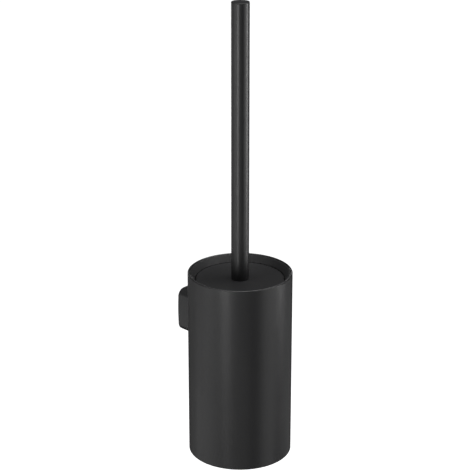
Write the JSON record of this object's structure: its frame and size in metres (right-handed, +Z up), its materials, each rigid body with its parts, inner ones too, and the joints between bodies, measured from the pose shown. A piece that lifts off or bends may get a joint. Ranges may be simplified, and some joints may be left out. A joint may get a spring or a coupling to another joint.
{
  "type": "toilet brush holder",
  "caption": "Wall-mounted toilet brush holder: a round cup on a soft-square wall post, with a lift-out liner and a long-handled brush whose flat lid sinks into the mouth.",
  "frame": {"origin": "centre of the wall plate's back face, on the wall", "axes": "+Z up along the handle, +Y into the wall, so the cup stands out from the wall towards -Y"},
  "size_m": [0.09, 0.1024, 0.401],
  "materials": {
    "black_coat": "satin",
    "black_plastic": "matte",
    "rubber": "matte",
    "stainless": "satin",
    "cast_zinc": "matte",
    "black_steel": "satin",
    "bristle": "matte"
  },
  "bodies": {
    "housing": {"outer_shell": "black_coat", "shell_base": "black_coat", "wall_post": "black_coat", "post_gasket": "rubber", "post_screws": "stainless", "post_washers": "stainless", "wall_plate": "cast_zinc", "grub_screw": "black_steel"},
    "liner": {"liner": "black_plastic", "liner_feet": "rubber"},
    "brush": {"handle_tube": "black_coat", "handle_cap": "black_coat", "handle_insert": "stainless", "lid_disc": "black_coat", "lid_collar": "black_plastic", "lid_buffer": "rubber", "neck_stud": "stainless", "neck_lock_washer": "stainless", "neck_rod": "stainless"},
    "neck_seal": {"neck_washer": "rubber"},
    "brush_head": {"brush_core": "black_plastic", "side_bristles": "bristle", "tip_bristles": "bristle"}
  },
  "joints": [
    {"name": "liner_lift", "type": "slide", "parent": "housing", "child": "liner", "axis": [0, 0, 1], "range_m": [0, 0.17]},
    {"name": "brush_lift", "type": "slide", "parent": "liner", "child": "brush", "axis": [0, 0, 1], "range_m": [0, 0.155]},
    {"name": "head_travel", "type": "slide", "parent": "brush", "child": "neck_seal", "axis": [0, 0, -1], "range_m": [0, 0.01]},
    {"name": "head_unscrew", "type": "hinge", "parent": "neck_seal", "child": "brush_head", "pos_m": [0, -0.0574, -0.0191], "axis": [0, 0, -1], "range_deg": [0, 2880]}
  ],
  "couplings": [
    {"joint": "head_travel", "follows": "head_unscrew", "m_per_rad": 0.00019894}
  ]
}
